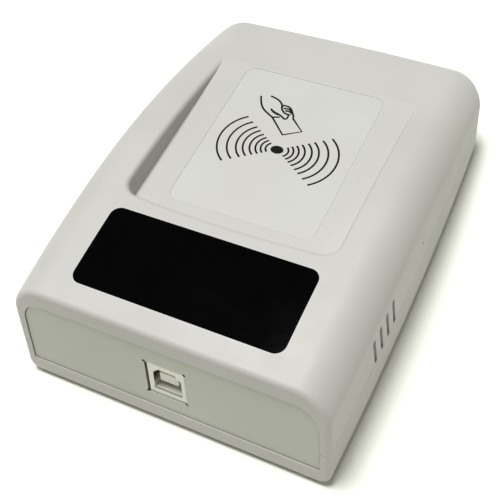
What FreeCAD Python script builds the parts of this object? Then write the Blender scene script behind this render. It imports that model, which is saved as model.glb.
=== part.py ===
"""Desktop contactless card reader used as a ticket validator, as an assembly of separate solids.

Two moulded shells clamp a front panel that carries a USB-B socket. A smoked window in the roof
covers a digit display, and a shallow pad behind it is where a card is held over the antenna.

Working frame: X across, Y towards the back, Z up, with y = 0 and z = 0 on the bottom front edge.
Each piece is moved to the middle of the base and lifted onto the feet as it is written.
"""
import FreeCAD, Part
import math
import os

V = FreeCAD.Vector

# ---------------------------------------------------------------- driving sizes (mm, degrees)
# case
case_width = 97.2          # widest, near mid length
case_length = 126.2        # bottom front edge to the middle of the back, at the base
case_height = 36.4         # underside of the shell to the crest of the roof
wall = 2.3
split_height = 13.0        # where the two shells meet
front_rake = 12.3          # the front face leans back by this much
back_rake = 17.0           # the back leans out over the base by this much
side_draft = 1.5           # each side leans inwards towards the roof
crest_y = 50.5             # where the roof is highest
roof_front_radius = 490.0  # roof arc from the crest to the front
roof_back_radius = 263.0   # roof arc from the crest to the back
side_radius = 1240.0       # the sides bulge gently in plan
back_bow = 1.8             # the back bulges by this much in plan
roof_side_round = 10.4
roof_back_round = 3.8
corner_round = 5.5
floor_side_round = 3.5
floor_back_round = 3.5
front_edge_round = 1.5

# shell joint
shadow_gap = 0.15
shadow_depth = 0.25
tongue_height = 1.5
joint_clearance = 0.15

# front opening, measured up the leaning face
panel_bottom = 5.9
panel_height = 24.2
panel_width = 89.4         # at its bottom edge
panel_top_round = 7.5
panel_bottom_round = 0.9
panel_recess = 0.4         # panel face behind the rim
panel_gap = 0.25
rim_lip = 1.8
flange_width = 1.2
flange_thickness = 1.5
rear_lip = 1.7

# display window
window_width = 62.4
window_front = 14.5
window_length = 25.3
window_round = 3.0
window_thickness = 1.0
window_drop = 0.05
window_gap = 0.12
window_ledge = 3.0
tape_thickness = 0.2

# card pad
pad_floor = 30.3
pad_width = 63.2
pad_front = 44.8
pad_front_bow = 1.1
pad_corner_round = 4.0
pad_wall_lean = 6.0
pad_lip_round = 1.4
label_width = 45.2
label_front = 51.2
label_length = 55.0
label_round = 3.2
label_pocket = 0.3
label_thickness = 0.26
label_gap = 0.06

# side vents
vent_count = 4
vent_pitch = 4.38
vent_first = 32.3
vent_width = 1.6
vent_bottom = 13.4
vent_height = 10.6

# USB-B socket
usb_offset = 0.25
usb_rise = 11.5            # centre above the panel's bottom edge
usb_width = 11.15
usb_height = 11.9
usb_sheet = 0.4
usb_depth = 13.3
usb_set_back = 0.3         # flange behind the panel face
usb_mouth_width = 8.45
usb_mouth_height = 7.8
usb_mouth_chamfer = 1.9
usb_mouth_lead = 0.3       # the mouth's front edge is bevelled by this much
usb_spring_slot = 5.2      # height of the slot in the liner's left wall
usb_tongue_width = 5.6
usb_tongue_height = 3.2
usb_tongue_length = 9.6
usb_hole_gap = 0.25
usb_hole_extra = 0.45      # the hole is cut wider on its left
usb_hole_notch = 0.55
contact_width = 1.0
contact_thickness = 0.3
contact_spacing = 2.5
contact_proud = 0.1
shield_leg_width = 2.0

# boards
board_thickness = 1.6
pin_hole_gap = 0.15
usb_board_width = 36.0
usb_board_height = 16.5
usb_post_spacing = 28.0
usb_post_radius = 2.6
main_board_width = 80.0
main_board_front = 24.0
main_board_length = 80.0
main_board_height = 7.5
main_post_inset = 4.0
main_post_radius = 3.0
antenna_board_width = 80.0
antenna_board_front = 53.0
antenna_board_length = 54.0
antenna_board_height = 22.2
antenna_post_inset_x = 3.0
antenna_post_inset_y = 5.0
antenna_post_radius = 2.4
display_board_width = 74.0
display_board_front = 14.2
display_board_length = 25.8
display_board_height = 23.6
display_post_inset = 2.8
display_post_radius = 2.2

# fasteners
case_screw_radius = 1.45
case_screw_length = 14.0
case_head_radius = 2.8
case_head_height = 1.8
board_screw_radius = 0.95
board_screw_length = 5.0   # depth of the hole it goes into
screw_end_gap = 0.6        # between the screw's tip and the end of that hole
board_head_radius = 1.9
board_head_height = 1.2
thread_clearance = 0.02
hole_clearance = 0.25
screw_well_depth = 4.0
case_boss_radius = 3.5
well_wall = 1.6
case_boss_side = 8.2       # boss centre in from the widest side
case_boss_front = 12.3
case_boss_back = 12.0      # boss centre in from the back

# feet
foot_radius = 5.0
foot_thickness = 1.8
foot_pocket = 1.0
foot_side = 12.6           # foot centre in from the widest side
foot_front = 25.0
foot_back = 22.0

# board-to-board headers: across, along, rows of two pins
display_header = (-29.2, 31.6, 5)
antenna_header = (33.0, 80.0, 2)
header_pitch = 2.54
header_width = 5.0
header_pin = 0.64
header_hole = 0.55
header_tail = 1.4

# aerial coil
coil_turns = 5
coil_trace = 0.9
coil_space = 0.8
coil_thickness = 0.1
coil_margin = 3.5

# display
digit_count = 4
digit_pitch = 11.8
digit_width = 7.6
digit_height = 14.2
segment_width = 1.3
segment_gap = 0.25
segment_thickness = 0.4
segment_proud = 0.05
digit_slant = 8.0
module_width = 47.0
module_length = 19.0
module_height = 6.8
module_offset = -1.5
led_radius = 1.5
led_height = 5.2
led_count = 3
led_pitch = 5.5
led_gap = 3.0              # from the module's side to the lamps' centres

# ---------------------------------------------------------------- small helpers


def line(a, b):
    return Part.LineSegment(V(*a), V(*b)).toShape()


def arc(a, b, c):
    return Part.Arc(V(*a), V(*b), V(*c)).toShape()


def box(x0, x1, y0, y1, z0, z1):
    return Part.makeBox(x1 - x0, y1 - y0, z1 - z0, V(x0, y0, z0))


def rod(radius, x, y, z0, z1):
    return Part.makeCylinder(radius, z1 - z0, V(x, y, z0))


def moved(shape, x, y, z):
    copy = shape.copy()
    copy.translate(V(x, y, z))
    return copy


def fused(shapes):
    first = shapes[0]
    return first.multiFuse(shapes[1:]).removeSplitter() if len(shapes) > 1 else first


def rounded_wire(corners, radii):
    """A closed outline in the XY plane, each corner replaced by a tangent arc."""
    count = len(corners)
    starts, middles, ends = [], [], []
    for i in range(count):
        corner = V(*corners[i], 0)
        back = (V(*corners[i - 1], 0) - corner).normalize()
        ahead = (V(*corners[(i + 1) % count], 0) - corner).normalize()
        half = back.getAngle(ahead) / 2
        reach = radii[i] / math.tan(half)
        centre = corner + (back + ahead).normalize() * (radii[i] / math.sin(half))
        starts.append(corner + back * reach)
        middles.append(centre + (corner - centre).normalize() * radii[i])
        ends.append(corner + ahead * reach)
    edges = []
    for i in range(count):
        if radii[i] > 0:
            edges.append(Part.Arc(starts[i], middles[i], ends[i]).toShape())
        follow = (i + 1) % count
        if ends[i].distanceToPoint(starts[follow]) > 1e-6:
            edges.append(Part.LineSegment(ends[i], starts[follow]).toShape())
    return Part.Wire(edges)


def plate(corners, radii, z0, z1):
    face = Part.Face(rounded_wire(corners, radii))
    return moved(face.extrude(V(0, 0, z1 - z0)), 0, 0, z0)


def rectangle(width, y0, y1, x=0.0):
    half = width / 2
    return [(x - half, y0), (x + half, y0), (x + half, y1), (x - half, y1)]


def rounded_box(width, y0, y1, radius, z0, z1, x=0.0):
    return plate(rectangle(width, y0, y1, x), [radius] * 4, z0, z1)


def lean(shape):
    """Turns a shape modelled against an upright face onto the leaning front face."""
    copy = shape.copy()
    copy.rotate(V(0, 0, 0), V(1, 0, 0), -front_rake)
    return copy


def front_plate(corners, radii, depth0, depth1):
    """A plate whose outline is (across, up the face) and whose depth runs into the case."""
    flat = plate(corners, radii, -depth1, -depth0)
    flat.rotate(V(0, 0, 0), V(1, 0, 0), 90)
    return lean(flat)


def front_rod(radius, x, up, depth0, depth1):
    upright = Part.makeCylinder(radius, depth1 - depth0, V(x, depth0, up), V(0, 1, 0))
    return lean(upright)


def front_box(x0, x1, depth0, depth1, up0, up1):
    return lean(box(x0, x1, depth0, depth1, up0, up1))


def fillet_each(shape, radius_of):
    """Rounds each edge by its own radius in one operation, so that corners blend."""
    document = FreeCAD.newDocument()
    base = document.addObject("Part::Feature", "base")
    base.Shape = shape
    rounded = document.addObject("Part::Fillet", "rounded")
    rounded.Base = base
    radii = [(i + 1, radius_of(edge)) for i, edge in enumerate(shape.Edges)]
    rounded.Edges = [(i, radius, radius) for i, radius in radii if radius]
    document.recompute()
    result = rounded.Shape.copy()
    FreeCAD.closeDocument(document.Name)
    return result


# ---------------------------------------------------------------- places worked out once
front_slope = math.tan(math.radians(front_rake))
bulge_y = case_length * 0.395
frame_depth = rim_lip + flange_thickness + joint_clearance + rear_lip
usb_up = panel_bottom + usb_rise
usb_face = panel_recess + usb_set_back
usb_back = usb_face + usb_depth
usb_board_up = usb_up - usb_board_height / 2
board_seat = main_board_height + board_thickness
display_top = display_board_height + board_thickness
module_top = display_top + module_height
antenna_top = antenna_board_height + board_thickness


def side_x(y):
    return case_width / 2 - (y - bulge_y) ** 2 / (2 * side_radius)


def roof_z(y):
    radius = roof_front_radius if y < crest_y else roof_back_radius
    return case_height - (y - crest_y) ** 2 / (2 * radius)


def front_y(z, depth=0.0):
    """Y of a plane that lies depth behind the front face, at height z."""
    return z * front_slope + depth / math.cos(math.radians(front_rake))


# ---------------------------------------------------------------- the case as one body


def side_prism(inset, sign):
    """Everything inside one side wall, which bulges in plan and leans inwards."""
    y0, y1 = -20.0, case_length + case_height
    x0, xm, x1 = (sign * (side_x(y) - inset) for y in (y0, (y0 + y1) / 2, y1))
    far = -sign * case_width
    edges = [
        arc((x0, y0, 0), (xm, (y0 + y1) / 2, 0), (x1, y1, 0)),
        line((x1, y1, 0), (far, y1, 0)),
        line((far, y1, 0), (far, y0, 0)),
        line((far, y0, 0), (x0, y0, 0)),
    ]
    rise = case_height * 2
    inwards = -sign * math.tan(math.radians(side_draft)) * rise
    return Part.Face(Part.Wire(edges)).extrude(V(inwards, 0, rise))


def back_prism(inset):
    """Everything in front of the back wall, which bows in plan and leans outwards."""
    y0, y1 = -20.0, case_length - inset
    x = case_width
    bow = back_bow * (2 * x / case_width) ** 2
    edges = [
        arc((x, y1 - bow, 0), (0, y1, 0), (-x, y1 - bow, 0)),
        line((-x, y1 - bow, 0), (-x, y0, 0)),
        line((-x, y0, 0), (x, y0, 0)),
        line((x, y0, 0), (x, y1 - bow, 0)),
    ]
    rise = case_height * 2
    return Part.Face(Part.Wire(edges)).extrude(V(0, math.tan(math.radians(back_rake)) * rise, rise))


def profile_prism(inset, depth):
    """Side view of the case: a leaning front and two roof arcs, open at the back."""
    y1 = case_length + case_height
    corner_y = front_y(roof_z(0) - inset, depth)
    for _ in range(6):
        corner_y = front_y(roof_z(corner_y) - inset, depth)
    half_front = (corner_y + crest_y) / 2
    half_back = (crest_y + y1) / 2
    x = -case_width
    outline = [(x, y, roof_z(y) - inset) for y in (corner_y, half_front, crest_y, half_back, y1)]
    toe = (x, front_y(inset, depth), inset)
    heel = (x, y1, inset)
    edges = [
        line(toe, outline[0]),
        arc(outline[0], outline[1], outline[2]),
        arc(outline[2], outline[3], outline[4]),
        line(outline[4], heel),
        line(heel, toe),
    ]
    return Part.Face(Part.Wire(edges)).extrude(V(case_width * 2, 0, 0))


def envelope(inset=0.0, depth=0.0):
    """The whole case outline, shrunk by inset, with its front face moved in by depth."""
    raw = profile_prism(inset, depth).common(back_prism(inset))
    raw = raw.common(side_prism(inset, 1)).common(side_prism(inset, -1))

    def radius_of(edge):
        middle, size = edge.CenterOfMass, edge.BoundBox
        low = middle.z < case_height * 0.3
        high = middle.z > case_height * 0.6
        at_back = middle.y > case_length * 0.85
        at_side = abs(middle.x) > case_width * 0.35
        nominal = 0.0
        if at_back and size.ZLength > case_height * 0.3:
            nominal = corner_round
        elif at_back and high and size.XLength > case_width * 0.5:
            nominal = roof_back_round
        elif at_back and low and size.XLength > case_width * 0.5:
            nominal = floor_back_round
        elif at_side and high and size.YLength > case_length * 0.1:
            nominal = roof_side_round
        elif at_side and low and size.YLength > case_length * 0.5:
            nominal = floor_side_round
        return max(nominal - inset, 0.5) if nominal else 0.0

    return fillet_each(raw, radius_of)


def roof_with_recess(body):
    """The case with the card recess sunk into its roof, and the recess's lip rounded."""
    sunk = body.cut(pad_prism(0, pad_floor))

    def radius_of(edge):
        ends = [vertex.Point for vertex in edge.Vertexes]
        on_roof = all(abs(p.z - roof_z(p.y)) < 0.1 for p in ends)
        near = abs(edge.CenterOfMass.x) < pad_width / 2 + 1
        raised = edge.CenterOfMass.z > pad_floor + 0.5
        beside = edge.BoundBox.YMin > pad_front - 2
        return pad_lip_round if on_roof and near and raised and beside else 0.0

    return fillet_each(sunk, radius_of)


def on_front_face(edge):
    ends = [vertex.Point for vertex in edge.Vertexes] + [edge.CenterOfMass]
    return all(abs(p.y - front_y(p.z)) < 0.01 for p in ends)


def outer_case():
    body = envelope()
    rim = [edge for edge in body.Edges if on_front_face(edge)]
    return body.makeFillet(front_edge_round, rim)


# ---------------------------------------------------------------- outlines


def panel_corners(grow):
    """The D-shaped front opening, grown all round; (across, up the face)."""
    shift = math.tan(math.radians(side_draft))
    low = panel_bottom - grow
    high = panel_bottom + panel_height + grow
    wide = panel_width / 2 + grow + (panel_bottom - low) * shift
    narrow = wide - (high - low) * shift
    return [(-wide, low), (wide, low), (narrow, high), (-narrow, high)]


def panel_radii(grow):
    bottom = max(panel_bottom_round + grow, 0.3)
    top = panel_top_round + grow
    return [bottom, bottom, top, top]


def panel_slab(grow, depth0, depth1):
    return front_plate(panel_corners(grow), panel_radii(grow), depth0, depth1)


def window_prism(grow):
    y0 = window_front - grow
    y1 = window_front + window_length + grow
    width = window_width + 2 * grow
    return rounded_box(width, y0, y1, max(window_round + grow, 0.5), 0, case_height * 2)


def above_roof_plane(drop):
    """Everything above a plane that runs with the window's roof, drop below it."""
    y0, y1 = window_front - 6, window_front + window_length + 6
    slope = (roof_z(window_front + window_length) - roof_z(window_front)) / window_length
    z0 = roof_z(window_front) - 6 * slope - drop
    z1 = z0 + (y1 - y0) * slope
    x = case_width / 2
    top = case_height * 2
    corners = [V(-x, y0, z0), V(-x, y1, z1), V(-x, y1, top), V(-x, y0, top), V(-x, y0, z0)]
    return Part.Face(Part.makePolygon(corners)).extrude(V(case_width, 0, 0))


def pad_prism(grow, floor):
    """The card recess: walls that lean outwards from its floor, and a front wall that bows."""
    rise = case_height * 1.3 - floor
    spread = rise * math.tan(math.radians(pad_wall_lean))
    low = pad_wire(grow, floor)
    high = pad_wire(grow + spread, floor + rise)
    return Part.makeLoft([low, high], True, True)


def pad_wire(grow, z):
    half = pad_width / 2 + grow
    front = pad_front - grow
    side_front = front + pad_front_bow
    back = case_length + case_height
    radius = pad_corner_round + grow
    lean_in = radius * (1 - math.cos(math.pi / 4))
    bow = [(-half + radius, side_front, z), (0, front, z), (half - radius, side_front, z)]
    right = (half, side_front + radius, z)
    left = (-half, side_front + radius, z)
    right_mid = (half - lean_in, side_front + lean_in, z)
    left_mid = (-half + lean_in, side_front + lean_in, z)
    edges = [
        arc(*bow),
        arc(bow[2], right_mid, right),
        line(right, (half, back, z)),
        line((half, back, z), (-half, back, z)),
        line((-half, back, z), left),
        arc(left, left_mid, bow[0]),
    ]
    return Part.Wire(edges)


def label_outline(grow):
    return rectangle(label_width + 2 * grow, label_front - grow, label_front + label_length + grow)


# ---------------------------------------------------------------- places of fasteners


def case_boss_places():
    x = case_width / 2 - case_boss_side
    back = case_length - case_boss_back
    back_x = side_x(back) - case_boss_side
    return [(-x, case_boss_front), (x, case_boss_front), (-back_x, back), (back_x, back)]


def corner_places(width, front, length, inset_x, inset_y):
    x = width / 2 - inset_x
    return [(sx * x, y) for y in (front + inset_y, front + length - inset_y) for sx in (-1, 1)]


def main_post_places():
    inset = main_post_inset
    return corner_places(main_board_width, main_board_front, main_board_length, inset, inset)


def antenna_post_places():
    inset_x, inset_y = antenna_post_inset_x, antenna_post_inset_y
    return corner_places(
        antenna_board_width, antenna_board_front, antenna_board_length, inset_x, inset_y
    )


def display_post_places():
    inset = display_post_inset
    return corner_places(
        display_board_width, display_board_front, display_board_length, inset, inset
    )


def usb_post_places():
    half = usb_post_spacing / 2
    return [(usb_offset - half, usb_up), (usb_offset + half, usb_up)]


def foot_places():
    x = case_width / 2 - foot_side
    return [(sx * x, y) for y in (foot_front, case_length - foot_back) for sx in (-1, 1)]


# ---------------------------------------------------------------- the two shells


def below(z):
    return box(-case_width, case_width, -20, case_length + case_height, -20, z)


def above(z):
    return box(-case_width, case_width, -20, case_length + case_height, z, case_height * 3)


def joint_band(z0, z1):
    """The length of the case that has a tongue and groove, behind the front frame."""
    start = front_y(split_height, frame_depth) + 1
    return box(-case_width, case_width, start, case_length + case_height, z0, z1)


def front_opening():
    """What the front panel needs: mouth, flange groove and rear mouth."""
    flange_back = rim_lip + flange_thickness + joint_clearance
    mouth = panel_slab(0, -5, frame_depth + 1)
    groove = panel_slab(flange_width + joint_clearance, rim_lip, flange_back)
    return mouth.fuse(groove)


def vents():
    cutters = []
    reach = case_width / 2 + 5
    for i in range(vent_count):
        y = vent_first + i * vent_pitch
        corners = [
            (y - vent_width / 2, vent_bottom),
            (y + vent_width / 2, vent_bottom),
            (y + vent_width / 2, vent_bottom + vent_height),
            (y - vent_width / 2, vent_bottom + vent_height),
        ]
        slot = plate(corners, [vent_width * 0.45] * 4, -reach, reach)
        slot.rotate(V(0, 0, 0), V(1, 1, 1), 120)
        cutters.append(slot)
    middle = box(-vent_inner(), vent_inner(), 0, case_length, 0, case_height)
    return Part.makeCompound(cutters).cut(middle)


def vent_inner():
    return case_width / 2 - wall - 3


def case_cavity():
    """The room inside the shells, with the card recess standing down into it."""
    cavity = envelope(wall, frame_depth)
    return cavity.cut(pad_prism(wall, pad_floor - label_pocket - wall))


def posts_down(places, radius, z0, inside):
    """Posts that hang from the roof down to z0."""
    return fused([rod(radius, x, y, z0, case_height) for x, y in places]).common(inside)


def blind_holes(places, radius, z0, depth):
    """Screw holes that go up into posts whose lower ends are at z0."""
    return fused([rod(radius, x, y, z0 - 1, z0 + depth) for x, y in places])


def make_top_shell(outer, cavity):
    inside = envelope(wall * 0.5)
    shell = roof_with_recess(outer).cut(cavity).common(above(split_height))
    board_hole = board_screw_radius + thread_clearance
    case_hole = case_screw_radius + thread_clearance
    posts = [
        posts_down(case_boss_places(), case_boss_radius, split_height, inside),
        posts_down(antenna_post_places(), antenna_post_radius, antenna_top, inside),
        posts_down(display_post_places(), display_post_radius, display_top, inside),
    ]
    holes = [
        blind_holes(case_boss_places(), case_hole, split_height, case_screw_length),
        blind_holes(antenna_post_places(), board_hole, antenna_top, board_screw_length),
        blind_holes(display_post_places(), board_hole, display_top, board_screw_length),
    ]
    shell = shell.multiFuse(posts)
    rabbet = envelope(wall / 2 - joint_clearance, wall / 2).common(
        joint_band(split_height - 1, split_height + tongue_height + joint_clearance)
    )
    keep = fused([rod(case_boss_radius, x, y, 0, case_height) for x, y in case_boss_places()])
    shell = shell.cut(rabbet.cut(keep))
    shell = shell.cut(fused(holes)).cut(front_opening()).cut(vents())
    label_hole = plate(
        label_outline(label_gap),
        [label_round + label_gap] * 4,
        pad_floor - label_pocket,
        case_height * 2,
    )
    shell = shell.cut(label_hole)
    window_depth = window_drop + window_thickness + tape_thickness
    shell = shell.cut(window_prism(window_gap).common(above_roof_plane(window_depth)))
    return shell.cut(window_prism(-window_ledge).common(above(display_board_height + 5)))


def make_bottom_shell(outer, cavity):
    shell = outer.cut(cavity).common(below(split_height))
    tongue = envelope(wall / 2, wall / 2).cut(envelope(wall, wall))
    tongue = tongue.common(joint_band(split_height - 1, split_height + tongue_height))
    head_room = case_head_radius + hole_clearance
    solids = [shell, tongue]
    cuts = [front_opening(), vents()]
    for x, y in case_boss_places():
        wide = rod(head_room + well_wall, x, y, wall / 2, split_height)
        solids.append(wide.common(envelope(wall / 2)))
        cuts.append(rod(head_room, x, y, -5, screw_well_depth))
        cuts.append(rod(case_screw_radius + hole_clearance, x, y, 0, split_height + 5))
    for x, y in main_post_places():
        solids.append(rod(main_post_radius, x, y, wall / 2, main_board_height))
    body = fused(solids)
    for x, y in main_post_places():
        pilot = board_screw_radius + thread_clearance
        cuts.append(rod(pilot, x, y, main_board_height - board_screw_length, main_board_height))
    cuts += [rod(foot_radius + joint_clearance, x, y, -5, foot_pocket) for x, y in foot_places()]
    band = outer.cut(envelope(shadow_depth, shadow_depth))
    cuts.append(band.common(above(split_height - shadow_gap)).common(below(split_height)))
    for cutter in cuts:
        body = body.cut(cutter)
    return body


# ---------------------------------------------------------------- front panel and socket


def mouth_corners(grow):
    """The socket's mouth, with its two upper corners cut off; (across, up the face)."""
    half = usb_mouth_width / 2 + grow
    low = usb_up - usb_mouth_height / 2 - grow
    high = usb_up + usb_mouth_height / 2 + grow
    cut = usb_mouth_chamfer
    x = usb_offset
    return [
        (x - half, low),
        (x + half, low),
        (x + half, high - cut),
        (x + half - cut, high),
        (x - half + cut, high),
        (x - half, high - cut),
    ]


mouth_radii = [0.4, 0.4, 0.6, 0.6, 0.6, 0.6]


def usb_mouth(grow, depth0, depth1):
    return front_plate(mouth_corners(grow), mouth_radii, depth0, depth1)


def mouth_lead():
    """The bevel round the mouth's front edge, as a cutter that narrows into the case."""
    outlines = []
    steps = [(2 * usb_mouth_lead, usb_face - usb_mouth_lead), (0, usb_face + usb_mouth_lead)]
    for grow, depth in steps:
        outline = moved(rounded_wire(mouth_corners(grow), mouth_radii), 0, 0, -depth)
        outline.rotate(V(0, 0, 0), V(1, 0, 0), 90)
        outlines.append(lean(outline))
    return Part.makeLoft(outlines, True, True)


def usb_block(shrink, depth0, depth1):
    half_w = usb_width / 2 - shrink
    half_h = usb_height / 2 - shrink
    corners = [
        (usb_offset - half_w, usb_up - half_h),
        (usb_offset + half_w, usb_up - half_h),
        (usb_offset + half_w, usb_up + half_h),
        (usb_offset - half_w, usb_up + half_h),
    ]
    return front_plate(corners, [max(0.6 - shrink, 0.2)] * 4, depth0, depth1)


def make_front_panel():
    face = panel_slab(-panel_gap, panel_recess, rim_lip)
    flange = panel_slab(flange_width, rim_lip, rim_lip + flange_thickness)
    back = rim_lip + flange_thickness
    places = usb_post_places()
    posts = [front_rod(usb_post_radius, x, up, back - 0.5, usb_back) for x, up in places]
    body = fused([face, flange] + posts)
    left = usb_offset - usb_width / 2 - usb_hole_gap - usb_hole_extra
    right = usb_offset + usb_width / 2 + usb_hole_gap
    low = usb_up - usb_height / 2 - usb_hole_gap
    high = usb_up + usb_height / 2 + usb_hole_gap
    body = body.cut(front_box(left, right, -1, back + 1, low, high))
    for x in (left, right):
        for up in (low, high):
            body = body.cut(front_rod(usb_hole_notch, x, up, -1, back + 1))
    pilot = board_screw_radius + thread_clearance
    for x, up in places:
        body = body.cut(front_rod(pilot, x, up, usb_back - board_screw_length, usb_back + 1))
    return body


def shield_legs(grow):
    legs = []
    end = usb_back + board_thickness + 1.2
    for sign in (-1, 1):
        x = usb_offset + sign * (usb_width / 2 - usb_sheet / 2)
        half_t = usb_sheet / 2 + grow
        half_w = shield_leg_width / 2 + grow
        legs.append(
            front_box(x - half_t, x + half_t, usb_back - 1, end, usb_up - half_w, usb_up + half_w)
        )
    return legs


def make_usb_shell():
    """Folded sheet: a can with a front plate that the plug's mouth is pierced through."""
    can = usb_block(0, usb_face, usb_back)
    inside = usb_block(usb_sheet, usb_face + usb_sheet, usb_back + 1)
    body = can.cut(inside).cut(usb_mouth(0, usb_face - 1, usb_face + usb_sheet + 1))
    body = body.cut(mouth_lead())
    return fused([body] + shield_legs(0))


def contact_places():
    rows = []
    offset = usb_tongue_height / 2 - contact_thickness / 2 + contact_proud
    for up in (usb_up - offset, usb_up + offset):
        for sign in (-1, 1):
            rows.append((usb_offset + sign * contact_spacing / 2, up))
    return rows


def contact_bars(grow, depth0, depth1):
    half_w = contact_width / 2 + grow
    half_t = contact_thickness / 2 + grow
    return [
        front_box(x - half_w, x + half_w, depth0, depth1, up - half_t, up + half_t)
        for x, up in contact_places()
    ]


def tongue_front():
    return usb_back - 2.4 - usb_tongue_length


def make_usb_housing():
    """Pale moulding that lines the can, with a slot for the can's spring in its left wall."""
    body = usb_block(usb_sheet, usb_face + usb_sheet, usb_back - 0.2)
    body = body.cut(usb_mouth(0.05, usb_face - 1, usb_back + 1))
    left = usb_offset - usb_width / 2
    low, high = usb_up - usb_spring_slot / 2, usb_up + usb_spring_slot / 2
    slot = front_box(left, usb_offset - usb_tongue_width / 2, usb_face, tongue_front() + 4, low, high)
    return body.cut(slot)


def make_usb_tongue():
    """Pale contact carrier: a plug-shaped base with the tongue standing out of it."""
    base = usb_mouth(0, usb_back - 2.4, usb_back - 0.2)
    half_w, half_h = usb_tongue_width / 2, usb_tongue_height / 2
    corners = [
        (usb_offset - half_w, usb_up - half_h),
        (usb_offset + half_w, usb_up - half_h),
        (usb_offset + half_w, usb_up + half_h),
        (usb_offset - half_w, usb_up + half_h),
    ]
    tongue = front_plate(corners, [0.3] * 4, tongue_front(), usb_back - 1)
    body = fused([base, tongue])
    for bar in contact_bars(0, tongue_front() + 0.5, usb_back + 1):
        body = body.cut(bar)
    return body


def make_usb_contacts():
    end = usb_back + board_thickness + 1.2
    return Part.makeCompound(contact_bars(0, tongue_front() + 0.5, end))


def make_usb_board():
    half = usb_board_width / 2
    top = usb_board_up + usb_board_height
    corners = [
        (usb_offset - half, usb_board_up),
        (usb_offset + half, usb_board_up),
        (usb_offset + half, top),
        (usb_offset - half, top),
    ]
    board = front_plate(corners, [1.0] * 4, usb_back, usb_back + board_thickness)
    pins = contact_bars(pin_hole_gap, usb_back - 1, usb_back + 9)
    for cutter in shield_legs(pin_hole_gap) + pins:
        board = board.cut(cutter)
    for x, up in usb_post_places():
        board = board.cut(
            front_rod(board_screw_radius + hole_clearance, x, up, usb_back - 1, usb_back + 9)
        )
    return board


# ---------------------------------------------------------------- fasteners


def screw(radius, length, head_radius, head_height):
    """A cross-head screw that points up, with the underside of its head at z = 0."""
    head = rod(head_radius, 0, 0, -head_height, 0)
    crown = [edge for edge in head.Edges if edge.BoundBox.ZMax < -head_height + 0.01]
    head = head.makeFillet(head_height * 0.45, [edge for edge in crown if edge.Length > 1])
    shank = rod(radius, 0, 0, 0, length)
    tip = [edge for edge in shank.Edges if edge.BoundBox.ZMin > length - 0.01]
    shank = shank.makeChamfer(radius * 0.4, [edge for edge in tip if edge.Length > 1])
    body = head.fuse(shank).removeSplitter()
    arm, half = head_radius * 0.55, head_radius * 0.12
    deep = -head_height * 0.4
    body = body.cut(box(-arm, arm, -half, half, -head_height - 1, deep))
    return body.cut(box(-half, half, -arm, arm, -head_height - 1, deep))


def board_screw():
    """A screw that goes through a board and stops just short of the end of its hole."""
    length = board_thickness + board_screw_length - screw_end_gap
    return screw(board_screw_radius, length, board_head_radius, board_head_height)


def make_case_screws():
    one = screw(case_screw_radius, case_screw_length, case_head_radius, case_head_height)
    return Part.makeCompound([moved(one, x, y, screw_well_depth) for x, y in case_boss_places()])


def screws_up(places, z):
    """Screws that go up through a board whose underside is at z."""
    one = board_screw()
    return Part.makeCompound([moved(one, x, y, z) for x, y in places])


def make_main_board_screws():
    one = board_screw()
    one.rotate(V(0, 0, 0), V(1, 0, 0), 180)
    return Part.makeCompound([moved(one, x, y, board_seat) for x, y in main_post_places()])


def make_usb_board_screws():
    solids = []
    for x, up in usb_post_places():
        one = board_screw()
        one.rotate(V(0, 0, 0), V(1, 0, 0), 90)
        solids.append(lean(moved(one, x, usb_back + board_thickness, up)))
    return Part.makeCompound(solids)


# ---------------------------------------------------------------- roof fittings


def make_display_window(outer):
    slab = outer.common(window_prism(0)).common(above_roof_plane(window_thickness))
    return moved(slab, 0, 0, -window_drop)


def make_window_tape():
    """A die-cut ring of adhesive tape that holds the window on its ledge."""
    low = window_drop + window_thickness + tape_thickness
    ring = window_prism(-0.4).cut(window_prism(-window_ledge + 0.3))
    ring = ring.common(above_roof_plane(low))
    return ring.cut(above_roof_plane(window_drop + window_thickness))


def make_pad_label():
    bottom = pad_floor - label_pocket
    return plate(label_outline(0), [label_round] * 4, bottom, bottom + label_thickness)


# ---------------------------------------------------------------- boards and what is on them


def board(width, front, length, z, places, pin_places):
    body = rounded_box(width, front, front + length, 1.5, z, z + board_thickness)
    for x, y in places:
        body = body.cut(rod(board_screw_radius + hole_clearance, x, y, z - 1, z + 9))
    for x, y in pin_places:
        body = body.cut(rod(header_hole, x, y, z - 1, z + 9))
    return body


def header_pins_at(header):
    x, y, rows = header
    places = []
    for i in range(rows):
        for side in (-0.5, 0.5):
            along = y + (i - (rows - 1) / 2) * header_pitch
            places.append((x + side * header_pitch, along))
    return places


def make_header_body(header, top):
    """The tall moulding of a board-to-board header, with its pins' holes."""
    x, y, rows = header
    half = rows * header_pitch / 2
    body = box(x - header_width / 2, x + header_width / 2, y - half, y + half, board_seat, top)
    for px, py in header_pins_at(header):
        half_pin = header_pin / 2
        pin = box(px - half_pin, px + half_pin, py - half_pin, py + half_pin, 0, case_height)
        body = body.cut(pin)
    return body


def make_header_pins(header, top):
    half = header_pin / 2
    z0 = main_board_height - header_tail
    z1 = top + board_thickness + header_tail
    return Part.makeCompound(
        [box(x - half, x + half, y - half, y + half, z0, z1) for x, y in header_pins_at(header)]
    )


def make_main_board():
    pins = header_pins_at(display_header) + header_pins_at(antenna_header)
    return board(
        main_board_width,
        main_board_front,
        main_board_length,
        main_board_height,
        main_post_places(),
        pins,
    )


def make_antenna_board():
    return board(
        antenna_board_width,
        antenna_board_front,
        antenna_board_length,
        antenna_board_height,
        antenna_post_places(),
        header_pins_at(antenna_header),
    )


def make_display_board():
    return board(
        display_board_width,
        display_board_front,
        display_board_length,
        display_board_height,
        display_post_places(),
        header_pins_at(display_header),
    )


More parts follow.
